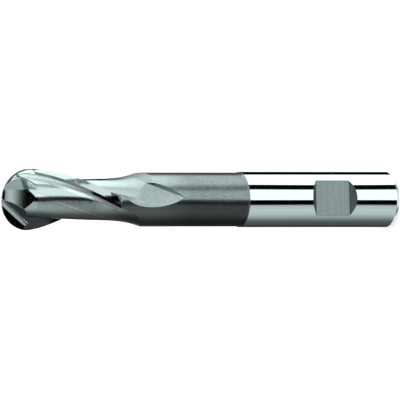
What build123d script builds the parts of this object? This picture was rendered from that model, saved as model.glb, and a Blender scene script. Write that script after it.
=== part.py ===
"""Ball nose end mill: one bar of tool steel ground into a two-flute, right-hand cutter.

The tool stands on the end of its shank with the ball at the top. The origin is the centre of the
shank's end face and +Z runs up the axis, so the clamping flat faces -Y.
"""

from build123d import *
from build123d.topology import SkipClean

import os
from math import cos, radians, sin, sqrt, tan

os.makedirs("parts", exist_ok=True)

# Overall sizes of the tool.
overall_length = 123.0
shank_d = 16.0
shank_length = 48.0
end_chamfer = 1.3

# The neck between the shank and the head, and the cone that leads to the shank.
neck_d = 15.5
step_cone = 0.5

# The head: the diameter over the cutting edges, the length that cuts and the cone behind it.
head_d = 18.0
cutting_length = 34.0
edge_hone = 0.02
head_cone = 0.6

# The flutes. An angle counts back from the first cutting edge, against the way the tool turns.
flutes = 2
lead = 120.0
first_edge_angle = -15.0
land_drop = 0.2
land_angle = 15.0
heel_drop = 0.4
heel_angle = 21.0
foot_r = 7.1
foot_angle = 18.0
back_r = 6.45
back_angle = 62.0
core_r = 5.9
core_angle = 108.0
gullet_r = 4.9
gullet_angle = 165.0

# Towards the shank the flute rises out of the bar, and the foot of its wall swings back as it rises.
gullet_lift_from = 18.0
gullet_lift_r = 53.0
back_lift_from = 24.4
back_lift_r = 40.0
foot_swing = 8.0
station_gap = 4.0

# The grinding wheel leaves the print of its rim at the end of each flute.
wheel_r = 30.0
wheel_angle = 88.0
wheel_tilt = 19.0
wheel_lean = 12.4
wheel_offset = 4.16
wheel_reach = 5.13
wheel_from_ball = 37.5
wheel_steep_flank = 36.0
wheel_long_flank = 26.0
wheel_half_width = 10.0

# Two flats clear the back of each tooth on the ball, down to a level side.
side_flat_angle = 93.5
side_flat_tilt = 30.0
side_flat_distance = 3.85
end_flat_angle = 99.0
end_flat_tilt = 40.4
end_flat_distance = 3.66
flat_side_angle = -11.0
flat_side_distance = 2.8

# The gash in front of each tooth on the ball: its rake wall and its far wall meet in a V.
gash_rake_angle = 86.0
gash_rake_distance = 0.3
gash_wall_angle = 160.0
gash_wall_tilt = 38.0
gash_wall_distance = 5.25

# The floor between the gash and the flats, ground in a sweep round the ball down to the flute.
sweep_r = 8.3
sweep_angle = 82.0
sweep_offset = 2.1
sweep_lift = 0.1

# The relief behind each cutting edge on the ball: a sphere set off towards the front of the tooth.
relief_offset = 1.0

# The clamping flat of the shank, cut between two sloping walls.
flat_length = 10.4
flat_depth = 1.8
flat_from_end = 21.0
flat_wall_angle = 45.0

# Sizes that follow from the ones above.
shank_r = shank_d / 2
neck_r = neck_d / 2
ball_r = head_d / 2
ball_z = overall_length - ball_r
head_end_z = overall_length - cutting_length
gullet_run = gullet_lift_from + sqrt(2 * gullet_lift_r * (ball_r - gullet_r))
back_run = back_lift_from + sqrt(2 * back_lift_r * (ball_r - core_r))
fluted_from = ball_z - max(gullet_run, back_run)
clear = 2 * ball_r


def at(radius, angle, z):
    """Point of the flute section at a height, on the helix an angle behind the first edge."""
    a = radians(first_edge_angle - angle + 360 * (z - ball_z) / lead)
    return (radius * cos(a), radius * sin(a))


def facing(angle, tilt):
    """Direction an angle behind the first edge, tilted from level towards the ball."""
    a = radians(first_edge_angle - angle)
    t = radians(tilt)
    return Vector(cos(t) * cos(a), cos(t) * sin(a), sin(t))


def flat(angle, tilt, distance):
    """Plane that faces a direction at a distance from the centre of the ball."""
    normal = facing(angle, tilt)
    return Plane(origin=Vector(0, 0, ball_z) + normal * distance, z_dir=normal)


def flute_section(z):
    """Outline of the fluted bar at a height, one equal share for each flute."""
    share = 360 / flutes
    edge_r = ball_r - edge_hone
    back_lift = max(0, ball_z - back_lift_from - z) ** 2 / (2 * back_lift_r)
    gullet_lift = max(0, ball_z - gullet_lift_from - z) ** 2 / (2 * gullet_lift_r)
    for tooth in range(flutes):
        edge = tooth * share
        p_edge = at(edge_r, edge, z)
        p_mid_land = at(edge_r - land_drop / 2, edge + land_angle / 2, z)
        p_land = at(edge_r - land_drop, edge + land_angle, z)
        p_heel = at(edge_r - heel_drop, edge + heel_angle, z)
        p_foot = at(foot_r + back_lift, edge + foot_angle + foot_swing * back_lift, z)
        p_back = at(back_r + back_lift, edge + back_angle, z)
        p_core = at(core_r + back_lift, edge + core_angle, z)
        p_gullet = at(gullet_r + gullet_lift, edge + gullet_angle, z)
        ThreePointArc(p_edge, p_mid_land, p_land)
        Line(p_land, p_heel)
        Line(p_heel, p_foot)
        Spline(p_foot, p_back, p_core, p_gullet)
        Line(p_gullet, at(edge_r, edge + share, z))


# The rim of the grinding wheel: a V that is steep towards the ball, turned around the wheel's axis.
wheel_normal = facing(wheel_angle - 90, -wheel_tilt)
wheel_level = facing(wheel_angle, 0)
wheel_up = wheel_level.cross(wheel_normal)
wheel_out = wheel_level * cos(radians(wheel_lean)) + wheel_up * sin(radians(wheel_lean))
wheel_origin = (
    Vector(0, 0, ball_z - wheel_from_ball)
    + wheel_normal * wheel_offset
    + wheel_level * wheel_reach
)
steep_rise = wheel_half_width * tan(radians(wheel_steep_flank))
long_rise = wheel_half_width * tan(radians(wheel_long_flank))
with BuildPart() as wheel:
    with BuildSketch(Plane(wheel_origin, wheel_out, wheel_out.cross(wheel_normal))):
        Polygon(
            (0, 0),
            (steep_rise, wheel_half_width),
            (wheel_r, wheel_half_width),
            (wheel_r, -wheel_half_width),
            (long_rise, -wheel_half_width),
            align=None,
        )
    revolve(axis=Axis(wheel_origin + wheel_out * wheel_r, wheel_normal))

# What the clearance flats take off behind the first tooth.
flat_side = flat(flat_side_angle, 0, flat_side_distance)
with BuildPart() as clearance:
    with Locations((0, 0, ball_z)):
        Box(2 * clear, 2 * clear, 2 * clear)
    split(bisect_by=flat(side_flat_angle, side_flat_tilt, side_flat_distance), keep=Keep.TOP)
    split(bisect_by=flat(end_flat_angle, end_flat_tilt, end_flat_distance), keep=Keep.TOP)
    split(bisect_by=flat_side, keep=Keep.TOP)

# What the V of the gash takes off in front of the second tooth.
gash_rake = flat(gash_rake_angle, 0, gash_rake_distance)
with BuildPart() as gash:
    with Locations((0, 0, ball_z)):
        Box(2 * clear, 2 * clear, 2 * clear)
    split(bisect_by=gash_rake, keep=Keep.TOP)
    split(bisect_by=flat(gash_wall_angle, gash_wall_tilt, gash_wall_distance), keep=Keep.TOP)

# What the sweep takes off beside it, above the level of the sweep's centre.
sweep_centre = Vector(0, 0, ball_z + sweep_lift) - facing(sweep_angle, 0) * sweep_offset
with BuildPart() as sweep_cut:
    with Locations(sweep_centre + Vector(0, 0, clear)):
        Box(4 * clear, 4 * clear, 2 * clear)
    with Locations(Plane(origin=sweep_centre, z_dir=facing(sweep_angle - 90, 0))):
        Cylinder(sweep_r, 8 * clear, mode=Mode.SUBTRACT)
    split(bisect_by=gash_rake, keep=Keep.TOP)
    split(bisect_by=flat_side, keep=Keep.BOTTOM)

# What the relief takes off behind the edge of the second tooth.
relief_r = sqrt((ball_r - edge_hone) ** 2 - gash_rake_distance**2 + relief_offset**2)
relief_centre = gash_rake.origin + gash_rake.z_dir * relief_offset
with BuildPart() as relief:
    with Locations((0, 0, ball_z + clear)):
        Box(2 * clear, 2 * clear, 2 * clear)
    with Locations(relief_centre):
        Sphere(relief_r, mode=Mode.SUBTRACT)
    split(bisect_by=gash_rake, keep=Keep.BOTTOM)

# The shank and its clamping flat. The wall is made in two lengths that meet at the flat's middle.
half_flat = flat_length / 2
spread = flat_depth * tan(radians(90 - flat_wall_angle))
with BuildPart() as shank:
    with BuildSketch(Plane.XZ):
        Polygon(
            (0, 0),
            (shank_r - end_chamfer, 0),
            (shank_r, end_chamfer),
            (shank_r, flat_from_end),
            (0, flat_from_end),
            align=None,
        )
    revolve(axis=Axis.Z)
    with BuildSketch(Plane.XZ):
        Polygon(
            (0, flat_from_end),
            (shank_r, flat_from_end),
            (shank_r, shank_length),
            (neck_r, shank_length + step_cone),
            (neck_r, fluted_from),
            (0, fluted_from),
            align=None,
        )
    with SkipClean():
        revolve(axis=Axis.Z)
    with BuildSketch(Plane.YZ):
        Polygon(
            (flat_depth - shank_r, flat_from_end - half_flat),
            (flat_depth - shank_r, flat_from_end + half_flat),
            (-shank_r, flat_from_end + half_flat + spread),
            (-shank_r, flat_from_end - half_flat - spread),
            align=None,
        )
    with SkipClean():
        extrude(amount=shank_r, both=True, mode=Mode.SUBTRACT)

with BuildPart() as end_mill:
    # The fluted bar, from below the last of the flutes to above the ball.
    above = overall_length + ball_r / 4
    spans = round((above - fluted_from) / station_gap)
    for i in range(spans + 1):
        z = fluted_from + (above - fluted_from) * i / spans
        with BuildSketch(Plane.XY.offset(z)):
            with BuildLine():
                flute_section(z)
            make_face()
    loft()

    # Only what lies inside the turned ball, head and upper neck is kept.
    with BuildSketch(Plane.XZ):
        with BuildLine():
            Polyline(
                (0, fluted_from),
                (neck_r, fluted_from),
                (neck_r, head_end_z - head_cone),
                (ball_r, head_end_z),
                (ball_r, ball_z),
            )
            CenterArc((0, ball_z), ball_r, 0, 90)
            Line((0, overall_length), (0, fluted_from))
        make_face()
    revolve(axis=Axis.Z, mode=Mode.INTERSECT)

    # The clearance flats and the gash of each tooth on the ball.
    with PolarLocations(0, flutes):
        add(clearance.part, mode=Mode.SUBTRACT)
        add(gash.part, mode=Mode.SUBTRACT)
        add(sweep_cut.part, mode=Mode.SUBTRACT)
        add(relief.part, mode=Mode.SUBTRACT)

    # The shank and the lower neck, and the print of the wheel at the end of each flute.
    with SkipClean():
        add(shank.part)
        with PolarLocations(0, flutes):
            add(wheel.part, mode=Mode.SUBTRACT)

end_mill.part.label = "end_mill"
export_step(end_mill.part, "parts/end_mill.step")
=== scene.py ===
"""Looks of the ball nose end mill: bright ground shank, dark satin neck, ground lands and flutes,
with shade and highlights painted along its edges, creases and walls.

The tool stands on the end of its shank. The camera looks at its clamping flat, a few degrees off
square and from above, and is turned on its side so that the tool lies level in the picture.
"""

from math import cos, pi, radians, sin

import bpy
from mathutils import Matrix, Vector

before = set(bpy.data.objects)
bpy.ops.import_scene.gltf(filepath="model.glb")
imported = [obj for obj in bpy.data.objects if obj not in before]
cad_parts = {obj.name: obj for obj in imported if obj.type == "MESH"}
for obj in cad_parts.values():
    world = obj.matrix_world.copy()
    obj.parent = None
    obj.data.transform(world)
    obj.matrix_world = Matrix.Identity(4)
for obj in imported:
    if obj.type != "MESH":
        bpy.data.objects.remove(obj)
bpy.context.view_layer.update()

MM = 0.001

# The tool, as its CAD model has it.
TOOL = "end_mill"
OVERALL = 123 * MM
SHANK_END = 48 * MM
HEAD_R = 9 * MM
NECK_R = 7.75 * MM
BALL_Z = OVERALL - HEAD_R
FLUTE_END = 89 * MM
LEAD = 120 * MM
FIRST_EDGE = radians(-15)

# Planes of the tool: angle behind the first edge, tilt towards the ball, distance from its centre.
RAKE_ANGLE = 86
RAKE = (RAKE_ANGLE, 0, 0.3 * MM)
GASH_WALL = (160, 38, 5.25 * MM)
SIDE_FLAT = (93.5, 30, 3.85 * MM)
END_FLAT = (99, 40.4, 3.66 * MM)
WHEEL_PLANE = (-2, -19, 4.16 * MM + 37.5 * MM * sin(radians(19)))

# The clamping flat: its middle, half its length and its distance from the axis. Its two walls slope
# at 45 degrees.
FLAT_Z = 21 * MM
FLAT_HALF = 5.2 * MM
FLAT_Y = 6.2 * MM

# Where each finish, painted shade and painted highlight lies: its lower limit, its upper limit and
# how softly it ends outside them. A limit that nothing on the tool reaches stands for none.
FAR = 1
EDGE = 0.04 * MM
# Heights above the end of the shank.
ON_SHANK = (-FAR, SHANK_END - EDGE, EDGE)
ON_NECK = (SHANK_END, FLUTE_END, EDGE)
ON_HEAD = (FLUTE_END, FAR, EDGE)
ON_BALL = (BALL_Z + 0.3 * MM, FAR, EDGE)
NECK_BY_HEAD = (76 * MM, FAR, 10 * MM)
RUN_OUT = (-FAR, BALL_Z - 32 * MM, 12 * MM)
PRINT_HEIGHT = (-FAR, BALL_Z - 31 * MM, EDGE)
# Heights above the centre of the ball.
PRINT_BY_BALL = (-36 * MM, FAR, 1.5 * MM)
LAND_BY_BALL = (-21.3 * MM, FAR, 0.5 * MM)
# Distances from the axis, and the one from the centre of the ball for the wall behind each edge.
NECK_RADIUS = (NECK_R - 0.05 * MM, FAR, EDGE)
LAND_RADIUS = (HEAD_R - 0.45 * MM, FAR, EDGE)
HEEL_RADIUS = (8.4 * MM, FAR, 0.15 * MM)
WALL_RADIUS = (6.8 * MM, FAR, 0.2 * MM)
WALL_REACH = (-FAR, 8.2 * MM, 0.2 * MM)
PRINT_RADIUS = (-FAR, NECK_R - 0.03 * MM, EDGE)
# Degrees behind the helix of the nearest cutting edge, for the heel, the wall behind the edge and
# the seam, on which shade, light and a highlight are painted.
HEEL_SECTION = (15.5, 22, 1)
WALL_SECTION = (13, 25, 8)
SEAM_SECTION = (66.6, 68.2, 0.9)
# Distances off a plane: on it, past the wheel's, beside the crease of the two clearance flats for
# painted shade, and beyond the root of the gash on the rake face for a painted highlight line and
# for a band that slopes.
ON_PLANE = (-EDGE, EDGE, EDGE)
PAST_WHEEL = (0.02 * MM, FAR, 0.05 * MM)
BY_CREASE = (-0.7 * MM, 0.1 * MM, 0.1 * MM)
ROOT_LINE = (0.08 * MM, 0.28 * MM, 0.05 * MM)
RAKE_BAND = (0.75 * MM, 1.15 * MM, 0.45 * MM)
# Heights above the clamping flat and above the foot of its walls, and distances past their slope.
ABOVE_FLAT = (-EDGE, FAR, EDGE / 2)
ABOVE_FOOT = (0.15 * MM, FAR, 0.1 * MM)
PAST_SLOPE = (-FAR, EDGE, EDGE / 2)

# How much of the light the steel mirrors in each place; some of these tones are painted shade and
# painted highlights, as marked.
TONE = {
    "flute": 0.41,
    # The seam in each flute is painted lighter, as a highlight along it.
    "seam": 0.62,
    # The wall behind each edge is painted light, far brighter than the flutes.
    "wall": 0.9,
    "run_out": 0.33,
    "print_by_neck": 0.6,
    "print_by_ball": 0.27,
    # Shade is painted beside the crease of the two clearance flats.
    "crease_shade": 0.12,
    # The wall of the gash is painted darker than the flutes, as shade in the notch.
    "gash_wall_shade": 0.3,
    # A bright line is painted beyond the root of the gash, as a highlight.
    "root_highlight": 0.95,
    "land_by_ball": 0.38,
    # The lands are painted nearly black towards the neck, as shade.
    "land_shade_by_neck": 0.08,
    # Shade is painted as a dark line along the heel of each land.
    "heel_shade": 0.1,
    "neck_by_head": 0.29,
    "neck_by_shank": 0.18,
    "shank": 0.6,
    "recess": 0.2,
    # The walls of the clamping flat are painted nearly black, as shade in the recess.
    "recess_wall_shade": 0.075,
}

# Red and blue of the steel against its green, and its red where light is painted on the wall behind
# an edge.
RED = 0.81
RED_OF_WALL = 0.88
BLUE = 0.99

# How rough the steel is in each place, and how much more it blurs along the neck than around it.
ROUGH = {
    "flute": 0.17,
    "ball": 0.07,
    "wall": 0.5,
    "gash": 0.45,
    "run_out": 0.4,
    "wheel_print": 0.5,
    "land": 0.13,
    "neck": 0.33,
    "shank": 0.06,
    "recess": 0.35,
}
NECK_STRETCH = 0.9

# The grains of the finishes: cycles for a millimetre along each axis, and how fine the detail is.
GRAINS = {
    "rings": ((0.12, 0.12, 3.5), 2),
    "fine_rings": ((0.3, 0.3, 12), 2),
    "satin": ((3, 3, 3), 4),
    "cross": ((0.05, 0.05, 3), 3),
    "cloud": ((0.35, 0.35, 0.2), 3),
    "speckle": ((1.6, 1.6, 1.2), 2),
}

# The drawn lines follow the helix: their axes run round the tool, out of it and up it, and a degree
# round it counts as about its arc on the head.
DRAWN = ((3, 3, 0.15), 3)
ARC_OF_DEGREE = HEAD_R / 57

# How much each grain changes the tone, the roughness and the height of the bump in each place.
TONE_GRAIN = {
    "all": {"satin": 0.012},
    "flute": {"drawn": 0.03},
    "run_out": {"drawn": 0.03, "speckle": 0.09},
    "neck": {"cloud": 0.03, "speckle": 0.07},
    "shank": {"rings": 0.02},
    "recess": {"cross": 0.05, "speckle": 0.03},
}
ROUGH_GRAIN = {"flute": {"drawn": 0.03}, "neck": {"cloud": 0.03}, "shank": {"rings": 0.015}}
BUMP_GRAIN = {
    "flute": {"drawn": 0.5},
    "neck": {"satin": 0.4},
    "shank": {"fine_rings": 0.12},
    "recess": {"cross": 1.0},
}
BUMP_STRENGTH = 0.5
BUMP_DISTANCE = 0.006 * MM

# How far the normal leans in the band on the rake face and on the lands. In the band the lean grows
# between two heights above the centre of the ball, from one share of it to another.
RAKE_SLOPE = 0.23
RAKE_FADE = (1 * MM, 4.5 * MM, 0.45, 1.0)
LAND_SLOPE = 0.06

# The camera: how far it is turned from the flat and raised, and what the picture takes in.
TURN = radians(4)
RAISE = radians(25.5)
PICTURE = 400
PIXELS_PER_MM = 3.4956
PICTURE_WIDTH = PICTURE / PIXELS_PER_MM * MM
BALL_AT = (29.7, 199.0)
LENS = 1700
SENSOR = 36

# Directions of the picture: towards the camera but level, up in the picture, and along the tool.
LEVEL = Vector((-sin(TURN), -cos(TURN), 0))
UP = Vector((cos(TURN), -sin(TURN), 0))
AXIS = Vector((0, 0, 1))

# The studio round the tool. Each row is a direction, in degrees from the camera's side towards the
# top of the picture, with the brightness there of the tall panels, of the low and the high one, of
# the one that fills the upper gap, and of those behind the tool. It changes evenly between rows.
STUDIO = (
    (-180, 0.45, 0.0, 0.0, 0.4),
    (-168, 0.45, 0.0, 0.0, 0.4),
    (-164, 0.0, 0.0, 0.0, 0.4),
    (-150, 0.0, 0.02, 0.0, 0.1),
    (-130, 0.0, 0.04, 0.0, 0.0),
    (-110, 0.0, 0.06, 0.0, 0.0),
    (-97, 0.0, 0.09, 0.0, 0.0),
    (-86, 0.0, 0.17, 0.0, 0.0),
    (-75, 0.0, 0.26, 0.0, 0.0),
    (-65, 0.0, 0.33, 0.0, 0.0),
    (-47, 0.0, 0.38, 0.0, 0.0),
    (-28, 0.0, 0.33, 0.0, 0.0),
    (-24, 0.0, 0.2, 0.0, 0.0),
    (-21, 0.0, 0.0, 0.0, 0.0),
    (-2.5, 0.0, 0.0, 0.0, 0.0),
    (-1.5, 0.78, 0.0, 0.0, 0.0),
    (41, 0.78, 0.0, 0.0, 0.0),
    (42.5, 0.0, 0.0, 0.6, 0.0),
    (64, 0.0, 0.0, 0.6, 0.0),
    (65.5, 1.0, 0.0, 0.0, 0.0),
    (123, 1.0, 0.0, 0.0, 0.0),
    (126, 0.0, 0.0, 0.0, 0.0),
    (142, 0.0, 0.0, 0.0, 0.2),
    (163, 0.0, 0.0, 0.0, 0.4),
    (167, 0.45, 0.0, 0.0, 0.4),
    (180, 0.45, 0.0, 0.0, 0.4),
)
PANEL_LEVEL = 2.5

# The lowest and the highest degree above level that each kind of panel reaches, and how softly it
# ends there, as a change of the sine. The last is a faint light from below.
TALL_PANELS = (-90, 52, 0.1)
LOW_PANEL = (-30, -20.5, 0.045)
HIGH_PANEL = (28, 62, 0.1)
FILL_PANELS = (-20, 52, 0.02)
UNDER = (-90, -46, 0.08)
UNDER_LEVEL = 0.1

# The dome over the tool brightens towards its top from so many degrees above level.
DOME_FROM = 20
DOME_LEVEL = 1.15
DOME_POWER = 3.3

WHITE = (1, 1, 1, 1)

# The floor: half its side, its grey, and how much lighter the camera sees it.
FLOOR_HALF = 4.0
FLOOR_GREY = (0.6, 0.6, 0.6, 1)
FLOOR_LIFT = 0.6


class Nodes:
    """Nodes of one shader tree, made and linked by short calls on sockets or numbers."""

    def __init__(self, owner):
        owner.use_nodes = True
        self.tree = owner.node_tree
        self.tree.nodes.clear()

    def make(self, kind, links=None, **settings):
        """New node, with its settings and with its inputs set or linked by name or number."""
        made = self.tree.nodes.new(kind)
        for key, value in settings.items():
            setattr(made, key, value)
        for key, value in (links or {}).items():
            if isinstance(value, bpy.types.NodeSocket):
                self.tree.links.new(value, made.inputs[key])
            else:
                made.inputs[key].default_value = value
        return made

    def maths(self, operation, *values):
        """Result of an operation on numbers."""
        return self.make("ShaderNodeMath", dict(enumerate(values)), operation=operation).outputs[0]

    def times(self, *values):
        """Product of numbers."""
        product = values[0]
        for value in values[1:]:
            product = self.maths("MULTIPLY", product, value)
        return product

    def plus(self, *values):
        """Sum of numbers."""
        total = values[0]
        for value in values[1:]:
            total = self.maths("ADD", total, value)
        return total

    def minus(self, a, b):
        """Number less another one."""
        return self.maths("SUBTRACT", a, b)

    def mix(self, factor, a, b):
        """Number that goes from a to b with a factor."""
        return self.make("ShaderNodeMix", {0: factor, 2: a, 3: b}, data_type="FLOAT").outputs[0]

    def between(self, value, low, high, soft):
        """1 where a value lies between two limits, falling to 0 over a soft width outside them."""
        up = {0: value, 1: low - soft, 2: low}
        down = {0: value, 1: high, 2: high + soft, 3: 1.0, 4: 0.0}
        rise, fall = (
            self.make("ShaderNodeMapRange", limits, clamp=True).outputs[0] for limits in (up, down)
        )
        return self.times(rise, fall)

    def xyz(self, x, y, z):
        """Vector of three numbers."""
        return self.make("ShaderNodeCombineXYZ", {0: x, 1: y, 2: z}).outputs[0]

    def vector(self, operation, links):
        """Vector that a vector operation gives."""
        return self.make("ShaderNodeVectorMath", links, operation=operation).outputs[0]

    def dot(self, vector, direction):
        """Part of a vector along a direction."""
        return self.make(
            "ShaderNodeVectorMath", {0: vector, 1: direction}, operation="DOT_PRODUCT"
        ).outputs["Value"]

    def grain(self, place, scales, detail):
        """Noise from -1 to 1 with its own scale along each axis, in cycles for a millimetre."""
        stretched = self.vector("MULTIPLY", {0: place, 1: tuple(s / MM for s in scales)})
        noise = self.make(
            "ShaderNodeTexNoise", {"Vector": stretched, "Scale": 1.0, "Detail": detail}
        )
        return self.maths("MULTIPLY_ADD", noise.outputs[0], 2.0, -1.0)


def facing(angle, tilt=0):
    """Direction an angle in degrees behind the first cutting edge, tilted towards the ball."""
    a = FIRST_EDGE - radians(angle)
    t = radians(tilt)
    return (cos(t) * cos(a), cos(t) * sin(a), sin(t))


def make_camera():
    """Camera with so long a lens that the tool shows without perspective, as in the photograph."""
    back = LEVEL * cos(RAISE) + AXIS * sin(RAISE)
    right = LEVEL * sin(RAISE) - AXIS * cos(RAISE)
    middle = (PICTURE - 1) / 2
    target = (
        Vector((0, 0, BALL_Z))
        + right * ((middle - BALL_AT[0]) / PIXELS_PER_MM * MM)
        - UP * ((middle - BALL_AT[1]) / PIXELS_PER_MM * MM)
    )
    # The picture's scale holds half way down the tool, between its near end and its far end.
    half_way = -BALL_Z / 2 * sin(RAISE)
    distance = PICTURE_WIDTH * LENS / SENSOR
    data = bpy.data.cameras.new("camera")
    data.lens = LENS
    data.sensor_width = SENSOR
    data.clip_end = 2 * distance
    camera = bpy.data.objects.new("camera", data)
    bpy.context.scene.collection.objects.link(camera)
    turn = Matrix((right, UP, back)).transposed().to_4x4()
    camera.matrix_world = Matrix.Translation(target + back * (distance + half_way)) @ turn
    bpy.context.scene.camera = camera


def make_studio():
    """World of panels with dark gaps between them, which shows as plain white behind the tool."""
    world = bpy.data.worlds.new("studio")
    bpy.context.scene.world = world
    n = Nodes(world)
    ray = n.make("ShaderNodeTexCoord").outputs["Generated"]
    angle = n.maths("ARCTAN2", n.dot(ray, UP), n.dot(ray, LEVEL))
    share = n.maths("MULTIPLY_ADD", angle, 0.5 / pi, 0.5)
    height = n.dot(ray, AXIS)

    def reach(lowest, highest, soft):
        return n.between(height, sin(radians(lowest)), sin(radians(highest)), soft)

    # One ramp round the tool carries the brightness of all four kinds of panel in its channels.
    ramp = n.make("ShaderNodeValToRGB", {0: share})
    stops = ramp.color_ramp.elements
    stops.remove(stops[1])
    for i, (direction, *brightness) in enumerate(STUDIO):
        stop = stops.new((direction + 180) / 360) if i else stops[0]
        stop.color = brightness
    tall, low, fill = n.make("ShaderNodeSeparateColor", {0: ramp.outputs[0]}).outputs
    back = ramp.outputs[1]
    panels = n.plus(
        n.times(tall, reach(*TALL_PANELS)),
        n.times(low, n.plus(reach(*LOW_PANEL), reach(*HIGH_PANEL))),
        n.times(n.plus(fill, back), reach(*FILL_PANELS)),
    )
    rise = n.make(
        "ShaderNodeMapRange", {0: height, 1: sin(radians(DOME_FROM)), 2: 1.0}, clamp=True
    ).outputs[0]
    level = n.plus(
        n.times(panels, PANEL_LEVEL),
        n.times(n.maths("POWER", rise, DOME_POWER), DOME_LEVEL),
        n.times(reach(*UNDER), UNDER_LEVEL),
    )
    mirrored = n.make("ShaderNodeBackground", {0: WHITE, 1: level})
    white = n.make("ShaderNodeBackground", {0: WHITE, 1: 1.0})
    seen = n.make("ShaderNodeLightPath").outputs["Is Camera Ray"]
    shown = n.make("ShaderNodeMixShader", {0: seen, 1: mirrored.outputs[0], 2: white.outputs[0]})
    n.make("ShaderNodeOutputWorld", {0: shown.outputs[0]})


def make_floor():
    """Plain pale floor under the tool."""
    side = FLOOR_HALF
    mesh = bpy.data.meshes.new("floor")
    mesh.from_pydata(
        [(-side, -side, 0), (side, -side, 0), (side, side, 0), (-side, side, 0)], [], [(0, 1, 2, 3)]
    )
    floor = bpy.data.objects.new("floor", mesh)
    bpy.context.scene.collection.objects.link(floor)
    material = bpy.data.materials.new("pale_floor")
    n = Nodes(material)
    seen = n.make("ShaderNodeLightPath").outputs["Is Camera Ray"]
    paint = n.make("ShaderNodeBsdfDiffuse", {0: FLOOR_GREY})
    lift = n.make("ShaderNodeEmission", {0: WHITE, 1: n.times(seen, FLOOR_LIFT)})
    both = n.make("ShaderNodeAddShader", {0: paint.outputs[0], 1: lift.outputs[0]})
    n.make("ShaderNodeOutputMaterial", {0: both.outputs[0]})
    mesh.materials.append(material)
    floor.visible_glossy = False
    floor.visible_shadow = False


class Zones:
    """Where each finish, painted shade and painted highlight lies on the tool: numbers that are 1
    in its place and 0 elsewhere.
    """

    def __init__(self, n, place):
        x, y, z = n.make("ShaderNodeSeparateXYZ", {0: place}).outputs
        radius = n.maths("SQRT", n.plus(n.times(x, x), n.times(y, y)))
        height = n.minus(z, BALL_Z)
        over = n.maths("MAXIMUM", height, 0.0)
        reach = n.maths("SQRT", n.plus(n.times(radius, radius), n.times(over, over)))

        # How far round the tool a point lies behind the helix of the nearest cutting edge.
        twist = n.times(height, 2 * pi / LEAD)
        behind = n.minus(n.plus(twist, FIRST_EDGE), n.maths("ARCTAN2", y, x))
        section = n.times(n.maths("FRACT", n.times(behind, 1 / pi)), 180.0)

        # The same point on the first tooth and in front of it, whichever tooth it is on.
        side = n.maths("SIGN", n.dot(place, facing(RAKE_ANGLE)))
        one = n.xyz(n.times(x, side), n.times(y, side), height)

        def off_plane(angle, tilt, distance):
            return n.minus(n.dot(one, facing(angle, tilt)), distance)

        from_root = off_plane(*GASH_WALL)

        self.shank = n.between(z, *ON_SHANK)
        self.neck = n.times(
            n.between(radius, *NECK_RADIUS), n.between(z, *ON_NECK), n.minus(1.0, self.shank)
        )
        self.neck_by_head = n.between(z, *NECK_BY_HEAD)
        self.land = n.times(n.between(radius, *LAND_RADIUS), n.between(z, *ON_HEAD))
        self.land_by_ball = n.between(height, *LAND_BY_BALL)
        # The heel of each land, where shade is painted as a dark line.
        self.heel_shade = n.times(n.between(section, *HEEL_SECTION), n.between(radius, *HEEL_RADIUS))
        self.ball = n.between(z, *ON_BALL)
        self.run_out = n.between(z, *RUN_OUT)
        # The seam in each flute, along which a highlight is painted.
        self.seam = n.times(n.between(section, *SEAM_SECTION), n.minus(1.0, self.ball))

        # The wall behind each edge, on which light is painted, and where that painted light shows.
        self.wall = n.times(
            n.between(section, *WALL_SECTION),
            n.between(reach, *WALL_REACH),
            n.between(radius, *WALL_RADIUS),
        )
        self.painted_bright_wall = n.times(self.wall, n.minus(1.0, self.run_out), n.minus(1.0, self.neck))

        # The print of the wheel at the end of each flute.
        self.wheel_print = n.times(
            n.between(off_plane(*WHEEL_PLANE), *PAST_WHEEL),
            n.between(radius, *PRINT_RADIUS),
            n.between(z, *PRINT_HEIGHT),
        )
        self.print_by_ball = n.between(height, *PRINT_BY_BALL)

        # The faces of the ball, with painted shade beside the crease and on the gash wall, and a
        # painted highlight line along the root of the gash.
        self.crease_shade = n.times(
            n.between(off_plane(*SIDE_FLAT), *BY_CREASE),
            n.between(off_plane(*END_FLAT), *BY_CREASE),
            self.ball,
        )
        self.gash_wall_shade = n.times(n.between(from_root, *ON_PLANE), self.ball)
        self.rake = n.times(n.between(off_plane(*RAKE), *ON_PLANE), self.ball)
        self.root_highlight = n.times(n.between(from_root, *ROOT_LINE), self.rake)

        # The clamping flat and its walls, on which shade is painted.
        above = n.minus(n.times(y, -1.0), FLAT_Y)
        past = n.minus(n.maths("ABSOLUTE", n.minus(z, FLAT_Z)), n.plus(above, FLAT_HALF))
        self.recess = n.times(n.between(above, *ABOVE_FLAT), n.between(past, *PAST_SLOPE))
        self.recess_wall_shade = n.times(self.recess, n.between(above, *ABOVE_FOOT))

        # Which way the normal leans: outwards in a band along the root of the gash, less towards
        # the flute, and back behind the edges on the lands.
        limits = dict(enumerate((height, *RAKE_FADE)))
        fade = n.make("ShaderNodeMapRange", limits, clamp=True).outputs[0]
        slope = n.times(n.between(from_root, *RAKE_BAND), fade, RAKE_SLOPE)
        round_tool = n.xyz(y, n.times(x, -1.0), 0.0)
        self.leans = (
            (facing(RAKE_ANGLE + 90), n.times(slope, self.rake, side)),
            (round_tool, n.times(self.land, LAND_SLOPE / HEAD_R)),
        )

        # Where a point lies for lines that follow the helix: round the tool, out of it and up it.
        self.along_helix = n.xyz(n.times(section, ARC_OF_DEGREE), radius, z)


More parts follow.
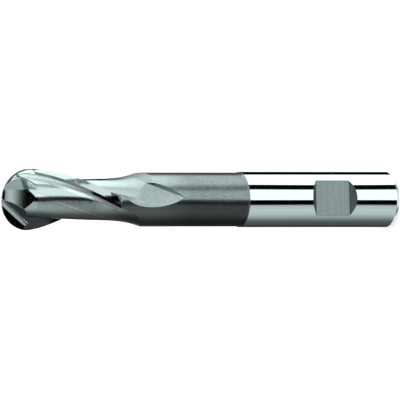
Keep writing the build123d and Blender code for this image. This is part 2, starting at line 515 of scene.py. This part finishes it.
def tool_steel():
    """Steel of the tool, finished by zone: bright shank, dark neck, ground lands, satin flutes,
    with shade and highlights painted along edges, creases and walls.
    """
    material = bpy.data.materials.new("tool_steel")
    n = Nodes(material)
    place = n.make("ShaderNodeTexCoord").outputs["Object"]
    at = Zones(n, place)
    grains = {name: n.grain(place, *grain) for name, grain in GRAINS.items()}
    grains["drawn"] = n.grain(at.along_helix, *DRAWN)

    def uneven(value, amounts):
        """Number that some grains change, each by its own amount."""
        return n.plus(value, *(n.times(grains[name], part) for name, part in amounts.items()))

    # Tone: what the flutes and the ball show, then the lands, the neck, the shank and its flat,
    # with painted shade and highlights among them.
    # A highlight is painted along the seam in each flute.
    tone = n.mix(at.seam, TONE["flute"], TONE["seam"])
    # Light is painted on the wall behind each edge.
    tone = n.mix(at.wall, tone, TONE["wall"])
    tone = n.mix(at.run_out, tone, uneven(TONE["run_out"], TONE_GRAIN["run_out"]))
    wheel_print = n.mix(at.print_by_ball, TONE["print_by_neck"], TONE["print_by_ball"])
    tone = n.mix(at.wheel_print, tone, wheel_print)
    # Shade is painted beside the crease of the two clearance flats.
    tone = n.mix(at.crease_shade, tone, TONE["crease_shade"])
    # Shade is painted on the wall of the gash.
    tone = n.mix(at.gash_wall_shade, tone, TONE["gash_wall_shade"])
    # A highlight is painted as a bright line beyond the root of the gash.
    tone = n.mix(at.root_highlight, tone, TONE["root_highlight"])
    # The lands keep their ground tone by the ball; towards the neck shade is painted on them.
    ground = n.mix(at.land_by_ball, TONE["land_shade_by_neck"], TONE["land_by_ball"])
    # Shade is painted as a dark line along the heel of each land.
    ground = n.mix(at.heel_shade, ground, TONE["heel_shade"])
    tone = n.mix(at.land, uneven(tone, TONE_GRAIN["flute"]), ground)
    neck = n.mix(at.neck_by_head, TONE["neck_by_shank"], TONE["neck_by_head"])
    tone = n.mix(at.neck, tone, uneven(neck, TONE_GRAIN["neck"]))
    tone = n.mix(at.shank, tone, uneven(TONE["shank"], TONE_GRAIN["shank"]))
    # The flat keeps its milled tone; shade is painted on its walls.
    milled_tone_and_wall_shade = n.mix(at.recess_wall_shade, TONE["recess"], TONE["recess_wall_shade"])
    tone = n.mix(at.recess, tone, uneven(milled_tone_and_wall_shade, TONE_GRAIN["recess"]))
    tone = uneven(tone, TONE_GRAIN["all"])
    # The red is raised where light is painted on the wall behind an edge.
    red = n.times(tone, n.mix(at.painted_bright_wall, RED, RED_OF_WALL))
    colour = n.make("ShaderNodeCombineColor", {0: red, 1: tone, 2: n.times(tone, BLUE)})

    # Roughness, in the same order.
    rough = n.mix(at.ball, ROUGH["flute"], ROUGH["ball"])
    rough = n.mix(at.wall, rough, ROUGH["wall"])
    rough = n.mix(n.plus(at.gash_wall_shade, at.root_highlight), rough, ROUGH["gash"])
    rough = n.mix(at.run_out, rough, ROUGH["run_out"])
    rough = n.mix(at.wheel_print, rough, ROUGH["wheel_print"])
    rough = n.mix(at.land, uneven(rough, ROUGH_GRAIN["flute"]), ROUGH["land"])
    rough = n.mix(at.neck, rough, uneven(ROUGH["neck"], ROUGH_GRAIN["neck"]))
    rough = n.mix(at.shank, rough, uneven(ROUGH["shank"], ROUGH_GRAIN["shank"]))
    rough = n.mix(at.recess, rough, ROUGH["recess"])

    # Bump: lines that follow the helix in the flutes, rings on the shank, satin on the neck and
    # lines across the flat. Then the normal leans where a face slopes.
    bump = n.mix(at.shank, uneven(0.0, BUMP_GRAIN["flute"]), uneven(0.0, BUMP_GRAIN["shank"]))
    bump = n.mix(at.neck, bump, uneven(0.0, BUMP_GRAIN["neck"]))
    bump = n.mix(at.recess, bump, uneven(0.0, BUMP_GRAIN["recess"]))
    normal = n.make(
        "ShaderNodeBump", {"Strength": BUMP_STRENGTH, "Distance": BUMP_DISTANCE, "Height": bump}
    ).outputs[0]
    for direction, slope in at.leans:
        lean = n.vector("SCALE", {0: direction, "Scale": slope})
        normal = n.vector("ADD", {0: normal, 1: lean})
    normal = n.vector("NORMALIZE", {0: normal})

    # The neck's turning marks run round it, so it blurs what it mirrors mostly along the tool.
    steel = n.make(
        "ShaderNodeBsdfPrincipled",
        {
            "Base Color": colour.outputs[0],
            "Metallic": 1.0,
            "Roughness": rough,
            "Normal": normal,
            "Anisotropic": n.times(at.neck, NECK_STRETCH),
            "Tangent": n.xyz(0.0, 0.0, 1.0),
        },
    )
    n.make("ShaderNodeOutputMaterial", {0: steel.outputs[0]})
    return material


bpy.context.scene.view_settings.view_transform = "Standard"
make_studio()
make_floor()
make_camera()

steel = tool_steel()
for material_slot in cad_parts[TOOL].material_slots:
    material_slot.material = steel
